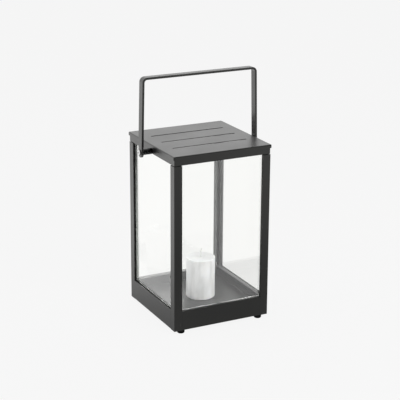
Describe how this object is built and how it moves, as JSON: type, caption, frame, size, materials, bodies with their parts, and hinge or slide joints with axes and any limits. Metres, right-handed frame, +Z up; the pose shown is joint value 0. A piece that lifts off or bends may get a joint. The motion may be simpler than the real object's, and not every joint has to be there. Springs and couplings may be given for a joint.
{
  "type": "candle lantern",
  "caption": "Square metal and glass candle lantern with slotted lift-off lid, recessed tray, swinging strap handle and rubber feet.",
  "frame": {"origin": "on the floor plane under the middle of the square body, at the height of the feet's undersides", "axes": "+Z up, +X to the right along the front face and along the handle's pivot axis, +Y from the front face to the back"},
  "size_m": [0.3098, 0.25, 0.5859],
  "materials": {
    "frame_paint": "satin black powder coat",
    "lid_paint": "satin black powder coat",
    "tray_paint": "satin black powder coat",
    "handle_paint": "satin black powder coat",
    "gloss_black": "gloss black enamel",
    "clear_glass": "clear float glass",
    "black_rubber": "matt black",
    "zinc_steel": "zinc plated",
    "bright_steel": "bright stainless",
    "black_nylon": "matt black nylon",
    "white_wax": "smooth paraffin wax",
    "cotton_wick": "waxed braided cotton"
  },
  "bodies": {
    "frame": {"apron_back": "frame_paint", "apron_front": "frame_paint", "apron_left": "frame_paint", "apron_right": "frame_paint", "corner_connectors": "black_nylon", "foot_back_left": "black_rubber", "foot_back_right": "black_rubber", "foot_front_left": "black_rubber", "foot_front_right": "black_rubber", "foot_nuts": "zinc_steel", "foot_screws": "zinc_steel", "glass_back": "clear_glass", "glass_front": "clear_glass", "glass_left": "clear_glass", "glass_right": "clear_glass", "glazing_seal_back": "black_rubber", "glazing_seal_front": "black_rubber", "glazing_seal_left": "black_rubber", "glazing_seal_right": "black_rubber", "handle_standoff_left": "gloss_black", "handle_standoff_right": "gloss_black", "pivot_screws": "bright_steel", "pivot_washers": "black_nylon", "post_back_left": "frame_paint", "post_back_right": "frame_paint", "post_front_left": "frame_paint", "post_front_right": "frame_paint", "standoff_nuts": "zinc_steel", "thrust_washers": "black_nylon", "top_frame_screws": "zinc_steel", "top_rail_back": "frame_paint", "top_rail_front": "frame_paint", "top_rail_left": "frame_paint", "top_rail_right": "frame_paint", "tray": "tray_paint", "tray_bearer_back": "tray_paint", "tray_bearer_front": "tray_paint", "tray_bearer_left": "tray_paint", "tray_bearer_right": "tray_paint"},
    "handle": {"handle_strap": "handle_paint", "pivot_bushes": "black_nylon"},
    "lid": {"lid": "lid_paint"},
    "candle": {"candle": "white_wax", "wick": "cotton_wick"}
  },
  "joints": [
    {"name": "handle_swing", "type": "hinge", "parent": "frame", "child": "handle", "pos_m": [0, 0, 0.4116], "axis": [1, 0, 0], "range_deg": [-127, 127]},
    {"name": "lid_lift", "type": "slide", "parent": "frame", "child": "lid", "axis": [0, 0, 1], "range_m": [0, 0.12]},
    {"name": "candle_lift", "type": "slide", "parent": "frame", "child": "candle", "axis": [0, 0, 1], "range_m": [0, 0.25]}
  ]
}
